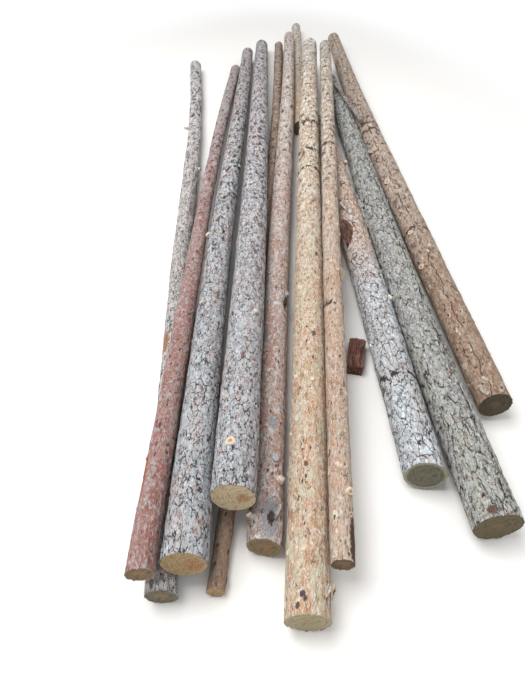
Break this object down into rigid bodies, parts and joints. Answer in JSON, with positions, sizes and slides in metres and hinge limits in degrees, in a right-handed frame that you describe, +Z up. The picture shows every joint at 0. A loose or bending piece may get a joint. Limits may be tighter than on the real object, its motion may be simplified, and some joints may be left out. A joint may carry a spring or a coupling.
{
  "type": "stack of logs",
  "caption": "Low fanned stack of round pine logs in their bark, lying parallel on the ground, to be moved, stored or sawn as raw timber.",
  "frame": {"origin": "middle of the stack's footprint, on the ground", "axes": "+Y along the logs, away from the butt ends that show in front; +X to the right seen from the front; +Z up"},
  "size_m": [1.6013, 6.2054, 0.283],
  "materials": {
    "grey_bark": "rough furrowed bark",
    "orange_bark": "thin flaky bark",
    "pink_bark": "thin flaky bark",
    "red_bark": "thin flaky bark",
    "grey_pole_bark": "weathered, matt",
    "brown_pole_bark": "dull, matt",
    "split_wood": "rough split"
  },
  "bodies": {
    "root": {"outer_left_log": "grey_pole_bark", "thin_bottom_log": "brown_pole_bark", "buried_log": "orange_bark", "scarred_log": "grey_bark", "furrowed_log": "grey_bark", "outer_right_log": "orange_bark", "red_log": "red_bark", "left_grey_log": "grey_bark", "stubbed_log": "pink_bark", "long_orange_log": "orange_bark", "slim_orange_log": "orange_bark", "top_log": "grey_bark", "short_pole": "grey_pole_bark", "split_offcut": "split_wood"}
  },
  "joints": []
}
